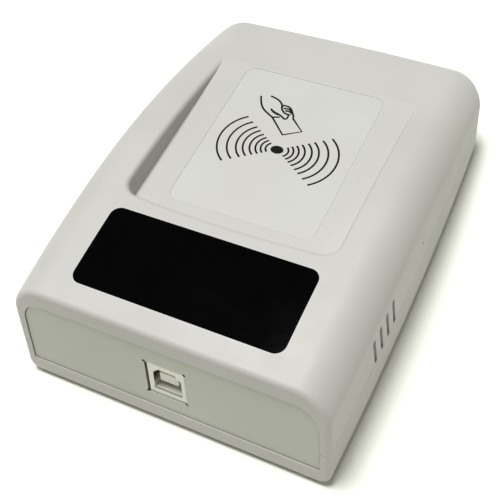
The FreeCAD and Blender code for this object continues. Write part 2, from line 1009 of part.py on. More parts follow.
def make_antenna_coil():
    """A square spiral of flat copper on top of the aerial board."""
    step = coil_trace + coil_space
    half_x = pad_width / 2 - coil_margin
    half_y = antenna_board_length / 2 - coil_margin
    middle = antenna_board_front + antenna_board_length / 2
    points = [V(-half_x, middle - half_y, 0)]
    for turn in range(coil_turns):
        inner_x = half_x - turn * step
        inner_y = half_y - turn * step
        points += [
            V(inner_x, middle - inner_y, 0),
            V(inner_x, middle + inner_y, 0),
            V(-inner_x, middle + inner_y, 0),
            V(-inner_x, middle - inner_y + step, 0),
        ]
    half = coil_trace / 2
    bars = []
    for a, b in zip(points, points[1:]):
        x0, x1 = min(a.x, b.x) - half, max(a.x, b.x) + half
        y0, y1 = min(a.y, b.y) - half, max(a.y, b.y) + half
        bars.append(box(x0, x1, y0, y1, antenna_top, antenna_top + coil_thickness))
    return fused(bars)


def chip_with_leads(x, y, size, height, leads, pitch):
    """A square flat pack: a chamfered body and gull legs on its four sides."""
    half = size / 2
    z = board_seat
    body = box(x - half, x + half, y - half, y + half, z + 0.15, z + height)
    top = [edge for edge in body.Edges if edge.BoundBox.ZMin > z + height - 0.01]
    body = body.makeChamfer(0.25, top)
    legs = []
    for i in range(leads):
        along = (i - (leads - 1) / 2) * pitch
        w = pitch * 0.25
        legs.append(box(x + along - w, x + along + w, y - half - 1, y - half + 0.3, z, z + 0.3))
        legs.append(box(x + along - w, x + along + w, y + half - 0.3, y + half + 1, z, z + 0.3))
        legs.append(box(x - half - 1, x - half + 0.3, y + along - w, y + along + w, z, z + 0.3))
        legs.append(box(x + half - 0.3, x + half + 1, y + along - w, y + along + w, z, z + 0.3))
    return fused([body] + legs)


def make_microcontroller():
    return chip_with_leads(0.0, main_board_front + 32, 10.0, 1.6, 12, 0.75)


def make_reader_chip():
    return chip_with_leads(22.0, main_board_front + 50, 6.0, 1.2, 8, 0.6)


def make_crystal():
    """A low metal can with round ends on a thin base."""
    y = main_board_front + 30
    base = rounded_box(11.3, y - 2.4, y + 2.4, 2.3, board_seat, board_seat + 0.5, 18.0)
    can = rounded_box(10.3, y - 1.9, y + 1.9, 1.8, board_seat + 0.4, board_seat + 3.5, 18.0)
    return fused([base, can])


def make_buzzer():
    x, y = -20.0, main_board_front + 60
    body = rod(6.0, x, y, board_seat, board_seat + 8.5)
    rim = [edge for edge in body.Edges if edge.BoundBox.ZMin > board_seat + 8.4]
    body = body.makeFillet(0.5, [edge for edge in rim if edge.Length > 9])
    return body.cut(rod(1.0, x, y, board_seat + 7.0, board_seat + 9))


def make_voltage_regulator():
    x, y = -20.0, main_board_front + 22
    body = box(x - 3.2, x + 3.2, y - 1.75, y + 1.75, board_seat + 0.05, board_seat + 1.7)
    tab = box(x - 1.5, x + 1.5, y + 1.5, y + 3.4, board_seat, board_seat + 0.3)
    legs = [
        box(x + dx - 0.35, x + dx + 0.35, y - 3.4, y - 1.5, board_seat, board_seat + 0.3)
        for dx in (-2.3, 0.0, 2.3)
    ]
    return fused([body, tab] + legs)


def make_capacitors():
    cans = []
    for dy in (30.0, 39.0, 48.0):
        can = rod(3.15, -32.0, main_board_front + dy, board_seat, board_seat + 7.5)
        top = [edge for edge in can.Edges if edge.BoundBox.ZMin > board_seat + 7.4]
        cans.append(can.makeFillet(0.6, [edge for edge in top if edge.Length > 5]))
    return Part.makeCompound(cans)


def make_usb_lead():
    """A short sleeved bundle of wires, soldered to the socket's board and the main board."""
    radius, bend, run, x = 1.4, 4.0, 5.0, usb_offset + 11.0
    start = lean(Part.Vertex(V(x, usb_back + board_thickness, usb_up + 4.0))).Point
    turn = math.radians(front_rake)
    along = V(0, math.cos(turn), -math.sin(turn))
    inward = V(0, -math.sin(turn), -math.cos(turn))
    corner = start + along * run
    centre = corner + inward * bend
    half = (math.pi / 2 - turn) / 2
    middle = centre - (inward * math.cos(half) - along * math.sin(half)) * bend
    end = centre + V(0, bend, 0)
    foot = V(end.x, end.y, board_seat)
    path = Part.Wire(
        [
            Part.LineSegment(start, corner).toShape(),
            Part.Arc(corner, middle, end).toShape(),
            Part.LineSegment(end, foot).toShape(),
        ]
    )
    section = Part.Wire([Part.Circle(start, along, radius).toShape()])
    return path.makePipeShell([section], True, False)


def segment_boxes():
    """The seven bars of one figure eight, centred on the origin."""
    w, h, s, g = digit_width / 2, digit_height / 2, segment_width / 2, segment_gap
    bars = []
    for y in (-h + s, 0, h - s):
        bars.append((-w + 2 * s + g, w - 2 * s - g, y - s, y + s))
    for x in (-w + s, w - s):
        bars.append((x - s, x + s, -h + 2 * s + g, -s - g))
        bars.append((x - s, x + s, s + g, h - 2 * s - g))
    return bars


def digit_segments(grow, z0, z1):
    solids = []
    slope = math.tan(math.radians(digit_slant))
    y = window_front + window_length / 2
    for i in range(digit_count):
        x = module_offset + (i - (digit_count - 1) / 2) * digit_pitch
        for x0, x1, y0, y1 in segment_boxes():
            corners = [
                (x + x0 - grow + y0 * slope, y + y0 - grow),
                (x + x1 + grow + y0 * slope, y + y0 - grow),
                (x + x1 + grow + y1 * slope, y + y1 + grow),
                (x + x0 - grow + y1 * slope, y + y1 + grow),
            ]
            solids.append(plate(corners, [0.2] * 4, z0, z1))
    return solids


def make_display_module():
    y = window_front + window_length / 2
    y0, y1 = y - module_length / 2, y + module_length / 2
    body = rounded_box(module_width, y0, y1, 0.5, display_top, module_top, module_offset)
    pockets = digit_segments(0, module_top - segment_thickness + segment_proud, module_top + 1)
    return body.cut(Part.makeCompound(pockets))


def make_display_segments():
    z1 = module_top + segment_proud
    return Part.makeCompound(digit_segments(0, z1 - segment_thickness, z1))


def make_status_lamps():
    """Small round lamps beside the digits, each a flanged barrel with a domed end."""
    x = module_offset + module_width / 2 + led_gap
    middle = window_front + window_length / 2
    z0 = display_top
    lamps = []
    for i in range(led_count):
        y = middle + (i - (led_count - 1) / 2) * led_pitch
        barrel = rod(led_radius, x, y, z0, z0 + led_height - led_radius)
        dome = Part.makeSphere(led_radius, V(x, y, z0 + led_height - led_radius))
        flange = rod(led_radius + 0.3, x, y, z0, z0 + 0.9)
        lamps.append(fused([barrel, dome, flange]))
    return Part.makeCompound(lamps)


def make_rubber_feet():
    feet = []
    for x, y in foot_places():
        foot = rod(foot_radius, x, y, foot_pocket - foot_thickness, foot_pocket)
        rim = [edge for edge in foot.Edges if edge.BoundBox.ZMax < foot_pocket - 0.1]
        feet.append(foot.makeFillet(0.4, [edge for edge in rim if edge.Length > 9]))
    return Part.makeCompound(feet)


# ---------------------------------------------------------------- assembly


def build_nodes():
    outer = outer_case()
    cavity = case_cavity()
    return {
        "top_shell": make_top_shell(outer, cavity),
        "bottom_shell": make_bottom_shell(outer, cavity),
        "front_panel": make_front_panel(),
        "display_window": make_display_window(outer),
        "window_tape": make_window_tape(),
        "pad_label": make_pad_label(),
        "rubber_feet": make_rubber_feet(),
        "case_screws": make_case_screws(),
        "usb_shell": make_usb_shell(),
        "usb_housing": make_usb_housing(),
        "usb_tongue": make_usb_tongue(),
        "usb_contacts": make_usb_contacts(),
        "usb_board": make_usb_board(),
        "usb_board_screws": make_usb_board_screws(),
        "usb_lead": make_usb_lead(),
        "main_board": make_main_board(),
        "main_board_screws": make_main_board_screws(),
        "microcontroller": make_microcontroller(),
        "reader_chip": make_reader_chip(),
        "crystal": make_crystal(),
        "buzzer": make_buzzer(),
        "voltage_regulator": make_voltage_regulator(),
        "capacitors": make_capacitors(),
        "antenna_board": make_antenna_board(),
        "antenna_coil": make_antenna_coil(),
        "antenna_board_screws": screws_up(antenna_post_places(), antenna_board_height),
        "antenna_header": make_header_body(antenna_header, antenna_board_height),
        "antenna_header_pins": make_header_pins(antenna_header, antenna_board_height),
        "display_board": make_display_board(),
        "display_module": make_display_module(),
        "display_segments": make_display_segments(),
        "status_lamps": make_status_lamps(),
        "display_board_screws": screws_up(display_post_places(), display_board_height),
        "display_header": make_header_body(display_header, display_board_height),
        "display_header_pins": make_header_pins(display_header, display_board_height),
    }


def main():
    os.makedirs("parts", exist_ok=True)
    nodes = build_nodes()
    size = nodes["bottom_shell"].fuse(nodes["top_shell"]).optimalBoundingBox(False, False)
    lift = foot_thickness - foot_pocket
    for name, shape in nodes.items():
        if not shape.isValid() or shape.Volume <= 0:
            print("faulty shape:", name)
        solid = moved(shape, 0, -(size.YMin + size.YMax) / 2, lift)
        solid.exportStep("parts/" + name + ".step")
    print(len(nodes), "nodes; case", round(size.XLength, 2), round(size.YLength, 2))


main()
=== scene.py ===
# %% [markdown]
# # A desktop ticket validator
# This notebook dresses a small electronic unit: two moulded shells, a leaning front panel with a
# data socket, a black display window and a shallow pad where a card is held.
# The solids come from CAD and stay as they are. What is added here is everything that makes plastic,
# film, ink and metal look like themselves, then the light and the camera.

import math

import bmesh
import bpy
from mathutils import Matrix, Vector


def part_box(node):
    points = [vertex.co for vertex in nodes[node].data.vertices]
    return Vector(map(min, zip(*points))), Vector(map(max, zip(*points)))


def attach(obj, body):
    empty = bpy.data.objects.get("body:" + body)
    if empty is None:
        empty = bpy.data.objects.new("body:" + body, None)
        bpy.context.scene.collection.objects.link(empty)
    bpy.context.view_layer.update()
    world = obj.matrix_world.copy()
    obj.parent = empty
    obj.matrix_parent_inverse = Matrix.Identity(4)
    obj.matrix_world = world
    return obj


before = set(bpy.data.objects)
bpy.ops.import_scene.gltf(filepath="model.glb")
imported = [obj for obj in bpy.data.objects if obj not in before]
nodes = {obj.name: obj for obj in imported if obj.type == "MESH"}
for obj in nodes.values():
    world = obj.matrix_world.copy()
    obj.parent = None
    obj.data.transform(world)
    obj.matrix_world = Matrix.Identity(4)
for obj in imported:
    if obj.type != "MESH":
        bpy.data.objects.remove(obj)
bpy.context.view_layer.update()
MM = 0.001
label_low, label_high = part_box("pad_label")


def on_unit(x, behind, z):
    """A place in millimetres, measured back from the pad label's front edge and up from the table."""
    return Vector((x, label_low.y / MM + behind, z))


# %% [markdown]
# ## The view
# A camera is a point, a direction, a roll and a lens. Here the direction is given the way a surveyor
# would: azimuth round the unit and elevation above the table. The roll tips the horizon, and the long
# lens keeps perspective mild. The three axes make the rotation matrix directly, which avoids guessing
# at Euler angles. Like everything that is drawn on the unit, the camera is placed from the front edge
# of the pad's label.

# %% Camera
AZIMUTH = math.radians(36.185)
ELEVATION = math.radians(54.052)
ROLL = math.radians(12.716)
CAMERA_PLACE = on_unit(96.074, -128.428, 236.547) * MM
LENS_MM = 67.87
SENSOR_MM = 36.0
CLIP_START = 0.01

towards_camera = Vector(
    (
        math.sin(AZIMUTH) * math.cos(ELEVATION),
        -math.cos(AZIMUTH) * math.cos(ELEVATION),
        math.sin(ELEVATION),
    )
)
level_right = Vector((0, 0, 1)).cross(towards_camera).normalized()
level_up = towards_camera.cross(level_right)
right = math.cos(ROLL) * level_right - math.sin(ROLL) * level_up
up = math.sin(ROLL) * level_right + math.cos(ROLL) * level_up

camera_data = bpy.data.cameras.new("camera")
camera_data.lens = LENS_MM
camera_data.sensor_width = SENSOR_MM
camera_data.clip_start = CLIP_START
camera = bpy.data.objects.new("camera", camera_data)
bpy.context.scene.collection.objects.link(camera)
camera.matrix_world = Matrix.Translation(CAMERA_PLACE) @ Matrix(
    (right, up, towards_camera)
).transposed().to_4x4()
bpy.context.scene.camera = camera
print("camera looks down from", [round(v, 3) for v in CAMERA_PLACE])

# %% [markdown]
# ## Helpers for materials
# Two small functions do the basic work. `linear` turns a colour picker's hex value into the linear
# light values that shaders need. `add` makes one node, sets its fields, and fills its inputs either
# with a plain value or with a link from another node.
# Two nodes are filled by position. Map Range takes a value at 0, the two ends it comes from at 1 and 2,
# and the two ends it goes to at 3 and 4. Mix takes its share at 0 and its two colours at 6 and 7.
# Pattern sizes are always worked out from millimetres: `per_mm(0.4)` is the scale at which a texture
# repeats every 0.4 mm.

# %% Colour, scale and node helpers


def linear(code):
    """An sRGB hex colour, such as #d8d8d0, as linear RGBA."""
    parts = [int(code[i : i + 2], 16) / 255 for i in (1, 3, 5)]
    return [v / 12.92 if v <= 0.04045 else ((v + 0.055) / 1.055) ** 2.4 for v in parts] + [1.0]


def per_mm(size):
    """Texture scale for a pattern of this size, because Object coordinates are in metres."""
    return 1.0 / (size * MM)


def add(tree, kind, fields=None, inputs=None):
    """One shader node, with its own fields set and its inputs filled or linked."""
    made = tree.nodes.new("ShaderNode" + kind)
    for name, value in (fields or {}).items():
        setattr(made, name, value)
    for name, value in (inputs or {}).items():
        if isinstance(value, bpy.types.NodeSocket):
            tree.links.new(value, made.inputs[name])
        else:
            made.inputs[name].default_value = value
    return made


def new_material(name):
    """A material with an empty node tree, and that tree."""
    material = bpy.data.materials.new(name)
    material.use_nodes = True
    material.node_tree.nodes.clear()
    return material, material.node_tree


print("helpers ready")

# %% [markdown]
# ## What every finish shares
# Real surfaces drift in colour and wear pale on their edges, and their corners and gaps are darkened
# with painted shade and grime. Each of these takes a few nodes together, so each is a function that
# says what it does to the surface.

# %% Drift, overlay, edges, corners and the shader
EDGE_FROM, EDGE_FULL = 0.995, 0.80
CREASE_FROM, CREASE_FULL = 0.52, 0.22


def drift(tree, pattern, span, share, first, second):
    """A colour that moves from one to another while a pattern crosses a span of its values."""
    bounds = {1: span[0], 2: span[1], 3: share[0], 4: share[1]}
    amount = add(tree, "MapRange", None, {0: pattern, **bounds}).outputs[0]
    return add(tree, "Mix", {"data_type": "RGBA"}, {0: amount, 6: first, 7: second}).outputs[2]


def overlay(tree, mask, strength, under, code):
    """A second colour laid over the first where a mask is strong."""
    share = add(tree, "Math", {"operation": "MULTIPLY"}, {0: mask, 1: strength}).outputs[0]
    return add(tree, "Mix", {"data_type": "RGBA"}, {0: share, 6: under, 7: linear(code)}).outputs[2]


def edge_mask(tree, radius_mm):
    """1 on sharp edges and 0 on open faces, from how far a rounded normal leaves the real one."""
    rounded = add(tree, "Bevel", {"samples": 4}, {"Radius": radius_mm * MM}).outputs[0]
    real = add(tree, "NewGeometry").outputs["Normal"]
    agree = add(tree, "VectorMath", {"operation": "DOT_PRODUCT"}, {0: rounded, 1: real})
    bounds = {1: EDGE_FROM, 2: EDGE_FULL, 3: 0.0, 4: 1.0}
    return add(tree, "MapRange", None, {0: agree.outputs["Value"], **bounds}).outputs[0]


def crease_mask(tree, reach_mm):
    """1 deep in gaps and corners and 0 in the open."""
    open_sky = add(tree, "AmbientOcclusion", {"samples": 6}, {"Distance": reach_mm * MM})
    bounds = {1: CREASE_FROM, 2: CREASE_FULL, 3: 0.0, 4: 1.0}
    return add(tree, "MapRange", None, {0: open_sky.outputs["AO"], **bounds}).outputs[0]


def finish_material(tree, relief=None, depth_mm=0.0, **inputs):
    """Puts a Principled shader on the output, over a raised pattern if there is one.

    Underscores stand for spaces in the names of the shader's inputs.
    """
    named = {name.replace("_", " "): value for name, value in inputs.items()}
    if relief is not None:
        raised = add(tree, "Bump", None, {"Height": relief, "Strength": 1.0, "Distance": depth_mm * MM})
        named["Normal"] = raised.outputs[0]
    shader = add(tree, "BsdfPrincipled", None, named)
    add(tree, "OutputMaterial", None, {"Surface": shader.outputs[0]})


# The corner darkening is painted shade and grime.
print("edges turn pale from", EDGE_FROM, "and corners darkened from", CREASE_FROM)

# %% [markdown]
# ## Moulded plastic
# The shells are injection-moulded ABS. The tool is spark-eroded, which leaves a fine pebbled skin, so
# highlights are broad and soft. Handling polishes the corners and lightens them a little. Gaps and
# corners get painted shade and grime. Large, faint blotches keep the colour from being flat.
# A real texture of 0.15 mm can't be seen from here, so the pebbles are drawn coarser: 0.55 mm on the
# shells and 0.35 mm on the front panel.

# %% Material: moulded ABS
ABS_IOR = 1.53
POLISHED = "#f1f1ea"
SHADE_AND_GRIME = "#4c4738"
MARK = "#4a4842"
SHADE_AND_GRIME_REACH = 2.2


def moulded_plastic(name, base, tint, dust, pebble_mm, pebble_depth, rough, marks=()):
    """Textured thermoplastic: pebbled skin, blotches, polished corners, painted shade and grime in gaps,
    small marks.
    """
    material, tree = new_material(name)
    place = add(tree, "TexCoord").outputs["Object"]
    blotches = {"Vector": place, "Scale": per_mm(38.0), "Detail": 2.0}
    blotch = add(tree, "TexNoise", None, blotches).outputs[0]
    colour = drift(tree, blotch, (0.35, 0.65), (0.0, 1.0), linear(base), linear(tint))
    pebbles = {"Vector": place, "Scale": per_mm(pebble_mm), "Detail": 4.0, "Roughness": 0.6}
    grain = add(tree, "TexNoise", None, pebbles).outputs[0]
    colour = drift(tree, grain, (0.3, 0.7), (0.10, 0.0), colour, linear(dust))

    handling = {"Vector": place, "Scale": per_mm(3.0), "Detail": 3.0}
    touched = add(tree, "TexNoise", None, handling).outputs[0]
    rubbed = {0: edge_mask(tree, 0.8), 1: touched}
    worn = add(tree, "Math", {"operation": "MULTIPLY"}, rubbed).outputs[0]
    colour = overlay(tree, worn, 0.35, colour, POLISHED)
    # Painted shade and grime: gaps and corners darken towards a brown grime colour.
    colour = overlay(tree, crease_mask(tree, SHADE_AND_GRIME_REACH), 0.9, colour, SHADE_AND_GRIME)

    for centre, size in marks:
        away = add(tree, "VectorMath", {"operation": "DISTANCE"}, {0: place, 1: centre * MM})
        ripple = add(tree, "TexNoise", None, {"Vector": place, "Scale": per_mm(0.5), "Detail": 3.0})
        ragged = add(tree, "Math", {"operation": "MULTIPLY"}, {0: ripple.outputs[0], 1: size * MM})
        reach = {0: away.outputs["Value"], 1: ragged.outputs[0]}
        near = add(tree, "Math", {"operation": "SUBTRACT"}, reach).outputs[0]
        colour = drift(tree, near, (size * 0.25 * MM, 0.0), (0.0, 0.85), colour, linear(MARK))

    patch = add(tree, "TexNoise", None, {"Vector": place, "Scale": per_mm(9.0), "Detail": 3.0})
    levels = {1: 0.3, 2: 0.7, 3: rough - 0.05, 4: rough + 0.06}
    skin = add(tree, "MapRange", None, {0: patch.outputs[0], **levels}).outputs[0]
    smoothed = add(tree, "Math", {"operation": "MULTIPLY"}, {0: worn, 1: 0.12}).outputs[0]
    gloss = add(tree, "Math", {"operation": "SUBTRACT"}, {0: skin, 1: smoothed}).outputs[0]
    finish_material(
        tree,
        grain,
        pebble_depth,
        Base_Color=colour,
        Roughness=gloss,
        IOR=ABS_IOR,
        Specular_IOR_Level=0.4,
    )
    return material


SIDE_CHIP = (on_unit(48.2, 17.3, 20.5), 0.9)
PANEL_SPECK = (on_unit(-43.7, -43.3, 10.8), 0.45)
shell_abs = moulded_plastic(
    "moulded ABS, light warm grey", "#bebdb9", "#c3c2bf", "#8f8c7c", 0.55, 0.012, 0.52, (SIDE_CHIP,)
)
panel_abs = moulded_plastic(
    "moulded ABS, front panel", "#bcbfb2", "#c0c3b7", "#85836f", 0.35, 0.006, 0.46, (PANEL_SPECK,)
)
print("made", shell_abs.name, "and", panel_abs.name)

# %% [markdown]
# ## Window, film and ink
# The display window is cast acrylic dyed almost black. It is smooth, with faint smears and hairline
# scratches, and its reflection is kept very weak, so that it reads as a dark hole and not as a mirror.
# The pad's film is satin polycarbonate, printed with black screen ink that stands a hair proud.

# %% Materials: acrylic, film and ink
ACRYLIC_IOR = 1.49
FILM_IOR = 1.58
INK_IOR = 1.5


def smoked_acrylic():
    """Near-black cast sheet: smears in its gloss, hairlines along it, paler cut edges."""
    material, tree = new_material("smoked acrylic, polished")
    place = add(tree, "TexCoord").outputs["Object"]
    smears = {"Vector": place, "Scale": per_mm(14.0), "Detail": 4.0, "Roughness": 0.6}
    smear = add(tree, "TexNoise", None, smears).outputs[0]
    shades = {0: smear, 6: linear("#020203"), 7: linear("#040404")}
    colour = add(tree, "Mix", {"data_type": "RGBA"}, shades).outputs[2]
    colour = overlay(tree, edge_mask(tree, 0.25), 0.03, colour, "#6b6b6b")

    along = add(tree, "Mapping", None, {"Vector": place, "Scale": (1.0, 14.0, 1.0)}).outputs[0]
    streaks = {"Vector": along, "Scale": per_mm(6.0), "Detail": 5.0, "Roughness": 0.7}
    streak = add(tree, "TexNoise", None, streaks).outputs[0]
    hairline = add(tree, "MapRange", None, {0: streak, 1: 0.62, 2: 0.72, 3: 0.0, 4: 1.0}).outputs[0]

    smeared = add(tree, "MapRange", None, {0: smear, 1: 0.35, 2: 0.7, 3: 0.06, 4: 0.12}).outputs[0]
    scratched = add(tree, "Math", {"operation": "MULTIPLY"}, {0: hairline, 1: 0.08}).outputs[0]
    gloss = add(tree, "Math", {"operation": "ADD"}, {0: smeared, 1: scratched}).outputs[0]
    finish_material(
        tree,
        hairline,
        0.001,
        Base_Color=colour,
        Roughness=gloss,
        IOR=ACRYLIC_IOR,
        Specular_IOR_Level=0.05,
    )
    return material


def satin_film(name, base, tint):
    """Thin printed plastic with a faint orange-peel skin."""
    material, tree = new_material(name)
    place = add(tree, "TexCoord").outputs["Object"]
    blotches = {"Vector": place, "Scale": per_mm(24.0), "Detail": 2.0}
    blotch = add(tree, "TexNoise", None, blotches).outputs[0]
    colour = drift(tree, blotch, (0.35, 0.65), (0.0, 1.0), linear(base), linear(tint))
    colour = overlay(tree, edge_mask(tree, 0.3), 0.3, colour, "#b9b9b0")
    peel = {"Vector": place, "Scale": per_mm(0.8), "Detail": 4.0}
    fibre = add(tree, "TexNoise", None, peel).outputs[0]
    colour = drift(tree, fibre, (0.3, 0.7), (0.06, 0.0), colour, linear("#9a998c"))

    patch = add(tree, "TexNoise", None, {"Vector": place, "Scale": per_mm(5.0), "Detail": 3.0})
    levels = {1: 0.3, 2: 0.7, 3: 0.44, 4: 0.49}
    gloss = add(tree, "MapRange", None, {0: patch.outputs[0], **levels}).outputs[0]
    finish_material(
        tree, fibre, 0.004, Base_Color=colour, Roughness=gloss, IOR=FILM_IOR, Specular_IOR_Level=0.4
    )
    return material


def screen_ink():
    """Matt black ink that shows the fine weave of the screen it was pressed through."""
    material, tree = new_material("screen ink, black")
    place = add(tree, "TexCoord").outputs["Object"]
    threads = {"Vector": place, "Scale": per_mm(0.25), "Detail": 3.0}
    weave = add(tree, "TexNoise", None, threads).outputs[0]
    shades = {0: weave, 6: linear("#060607"), 7: linear("#101011")}
    colour = add(tree, "Mix", {"data_type": "RGBA"}, shades).outputs[2]
    gloss = add(tree, "MapRange", None, {0: weave, 1: 0.3, 2: 0.7, 3: 0.5, 4: 0.65}).outputs[0]
    finish_material(
        tree, weave, 0.004, Base_Color=colour, Roughness=gloss, IOR=INK_IOR, Specular_IOR_Level=0.1
    )
    return material


window_acrylic = smoked_acrylic()
pad_film = satin_film("satin polycarbonate film", "#c1c0bc", "#c4c4c1")
ink = screen_ink()
print("made", window_acrylic.name, pad_film.name, ink.name)

# %% [markdown]
# ## Metals
# The socket is folded from nickel-plated steel: satin, slightly warm, with rolling lines. Screws are
# zinc plated, pins and contacts are gold plated, and capacitor cans are drawn aluminium. They differ
# in colour and in how their faint lines run, so one function makes them all.

# %% Material: metals


def plated_metal(
    name, base, tint, rough, line_mm, stretch, tarnish_and_shade="#5a5448", tarnish_and_shade_reach=0.5, tarnish_and_shade_share=0.5
):
    """Metal whose gloss is drawn out in fine lines, with its corners darkened: oxide on most metals,
    painted shade where the corner colour is near black.
    """
    material, tree = new_material(name)
    place = add(tree, "TexCoord").outputs["Object"]
    clouds = {"Vector": place, "Scale": per_mm(4.0), "Detail": 3.0}
    cloud = add(tree, "TexNoise", None, clouds).outputs[0]
    shades = {0: cloud, 6: linear(base), 7: linear(tint)}
    colour = add(tree, "Mix", {"data_type": "RGBA"}, shades).outputs[2]
    # Corners darken towards the given colour: oxide on most metals, painted shade in the socket.
    colour = overlay(tree, crease_mask(tree, tarnish_and_shade_reach), tarnish_and_shade_share, colour, tarnish_and_shade)
    colour = overlay(tree, edge_mask(tree, 0.15), 0.4, colour, "#f4f1e8")

    drawn = add(tree, "Mapping", None, {"Vector": place, "Scale": stretch}).outputs[0]
    rolling = {"Vector": drawn, "Scale": per_mm(line_mm), "Detail": 4.0, "Roughness": 0.6}
    lines = add(tree, "TexNoise", None, rolling).outputs[0]
    levels = {1: 0.3, 2: 0.7, 3: rough - 0.07, 4: rough + 0.09}
    gloss = add(tree, "MapRange", None, {0: lines, **levels}).outputs[0]
    finish_material(tree, lines, 0.003, Base_Color=colour, Metallic=1.0, Roughness=gloss)
    return material


# Painted shade: the socket's corner colour is near black and reaches 4 mm at full share, shading its
# mouth.
socket_nickel = plated_metal(
    "nickel-plated steel sheet", "#cccbc4", "#c3c2bb", 0.45, 0.5, (1.0, 1.0, 8.0), "#0e0d0b", 4.0, 1.0
)
screw_zinc = plated_metal("zinc-plated steel", "#b9bcc0", "#a7a9a8", 0.34, 0.4, (1.0, 1.0, 6.0))
pin_gold = plated_metal("gold-plated brass", "#d9b25a", "#c79d49", 0.28, 0.4, (1.0, 1.0, 8.0))
can_aluminium = plated_metal("drawn aluminium", "#cfd2d6", "#bfc2c6", 0.30, 0.5, (1.0, 1.0, 10.0))
can_steel = plated_metal("drawn steel can", "#c8c6c0", "#b5b2aa", 0.30, 0.5, (8.0, 1.0, 1.0))
coil_copper = plated_metal("etched copper", "#c47a4e", "#a9623c", 0.35, 0.6, (1.0, 1.0, 1.0), "#5d3a28")
print("made 6 metals")

# %% [markdown]
# ## Small moulded parts, rubber and boards
# Socket linings, headers and chips are glass-filled nylon or epoxy: matt, slightly speckled, and pale
# where their edges are rubbed. Rubber feet are soft and grey-black with talc in their pores.
# A circuit board is woven glass in resin under green resist, so a square weave shows through and the
# tracks lift it in gentle ridges.

# %% Material: small mouldings
NYLON_IOR = 1.53


def small_moulding(name, base, tint, speck, grain_mm, depth_mm, rough, specular=0.4):
    """Filled nylon, epoxy, rubber or resin: speckled, with pale rubbed edges."""
    material, tree = new_material(name)
    place = add(tree, "TexCoord").outputs["Object"]
    clouds = {"Vector": place, "Scale": per_mm(5.0), "Detail": 3.0}
    cloud = add(tree, "TexNoise", None, clouds).outputs[0]
    colour = drift(tree, cloud, (0.3, 0.7), (0.0, 1.0), linear(base), linear(tint))
    grains = {"Vector": place, "Scale": per_mm(grain_mm), "Detail": 4.0, "Roughness": 0.65}
    grain = add(tree, "TexNoise", None, grains).outputs[0]
    colour = drift(tree, grain, (0.6, 0.8), (0.0, 0.35), colour, linear(speck))
    colour = overlay(tree, edge_mask(tree, 0.25), 0.3, colour, speck)
    levels = {1: 0.3, 2: 0.7, 3: rough - 0.06, 4: rough + 0.08}
    gloss = add(tree, "MapRange", None, {0: grain, **levels}).outputs[0]
    finish_material(
        tree,
        grain,
        depth_mm,
        Base_Color=colour,
        Roughness=gloss,
        IOR=NYLON_IOR,
        Specular_IOR_Level=specular,
    )
    return material


tongue_nylon = small_moulding(
    "moulded nylon, white", "#f4f3ec", "#ecebe3", "#dedcd0", 0.5, 0.004, 0.45
)
liner_nylon = small_moulding(
    "moulded nylon, grey white", "#e2e2d8", "#d9d9ce", "#b5b4a6", 0.5, 0.004, 0.5
)
black_nylon = small_moulding(
    "glass-filled nylon, black", "#17181a", "#1f2022", "#3c3d3f", 0.4, 0.006, 0.5
)
chip_epoxy = small_moulding(
    "moulded epoxy, black", "#1b1c1f", "#222327", "#45464a", 0.3, 0.005, 0.6
)
foam_tape = small_moulding(
    "foam tape, black", "#141414", "#1c1c1c", "#33322f", 0.3, 0.02, 0.85, 0.2
)
foot_rubber = small_moulding(
    "moulded rubber, charcoal", "#2b2b2a", "#333331", "#56554f", 0.35, 0.012, 0.72, 0.3
)
lead_sleeve = small_moulding(
    "heat-shrink sleeve, black", "#1a1a1b", "#232324", "#464646", 0.6, 0.02, 0.5
)
display_face = small_moulding(
    "moulded reflector, dark grey", "#26272a", "#2d2e31", "#44464a", 0.35, 0.004, 0.5
)
milky_resin = small_moulding(
    "cast resin, milky", "#d9cfc6", "#cfc4ba", "#f0ebe2", 0.6, 0.003, 0.3, 0.5
)
lamp_resin = small_moulding(
    "cast resin, lamp", "#dfe0dc", "#d3d6d2", "#f3f4f2", 0.6, 0.002, 0.18, 0.5
)
print("made 10 mouldings")

# %% Material: circuit board
# A wave texture multiplies its place by 20 before it takes the sine, so these bands repeat every
# 2 pi threads. That is about 3.8 mm, coarser than real glass cloth, so that the weave shows.
LAMINATE_IOR = 1.5
THREAD_MM = 0.6
WAVE_FACTOR = 20


def laminate_board():
    """Glass-epoxy board: weave, resist and raised tracks."""
    material, tree = new_material("glass-epoxy laminate, green resist")
    place = add(tree, "TexCoord").outputs["Object"]
    bands = {"Vector": place, "Scale": per_mm(THREAD_MM * WAVE_FACTOR), "Distortion": 0.3}
    warp = add(tree, "TexWave", {"bands_direction": "X"}, bands).outputs[1]
    weft = add(tree, "TexWave", {"bands_direction": "Y"}, bands).outputs[1]
    weave = add(tree, "Math", {"operation": "MULTIPLY"}, {0: warp, 1: weft}).outputs[0]
    mesh = {"Vector": place, "Scale": per_mm(6.0)}
    cells = add(tree, "TexVoronoi", {"feature": "DISTANCE_TO_EDGE"}, mesh).outputs[0]
    track = add(tree, "MapRange", None, {0: cells, 1: 0.04, 2: 0.07, 3: 1.0, 4: 0.0}).outputs[0]
    shades = {0: weave, 6: linear("#1d5a2e"), 7: linear("#226536")}
    colour = add(tree, "Mix", {"data_type": "RGBA"}, shades).outputs[2]
    colour = overlay(tree, track, 0.6, colour, "#3b8a4c")
    colour = overlay(tree, edge_mask(tree, 0.2), 0.6, colour, "#b8b27c")

    faint = add(tree, "Math", {"operation": "MULTIPLY"}, {0: weave, 1: 0.2}).outputs[0]
    height = add(tree, "Math", {"operation": "ADD"}, {0: faint, 1: track}).outputs[0]
    gloss = add(tree, "MapRange", None, {0: weave, 1: 0.0, 2: 1.0, 3: 0.26, 4: 0.38}).outputs[0]
    finish_material(tree, height, 0.02, Base_Color=colour, Roughness=gloss, IOR=LAMINATE_IOR)
    return material


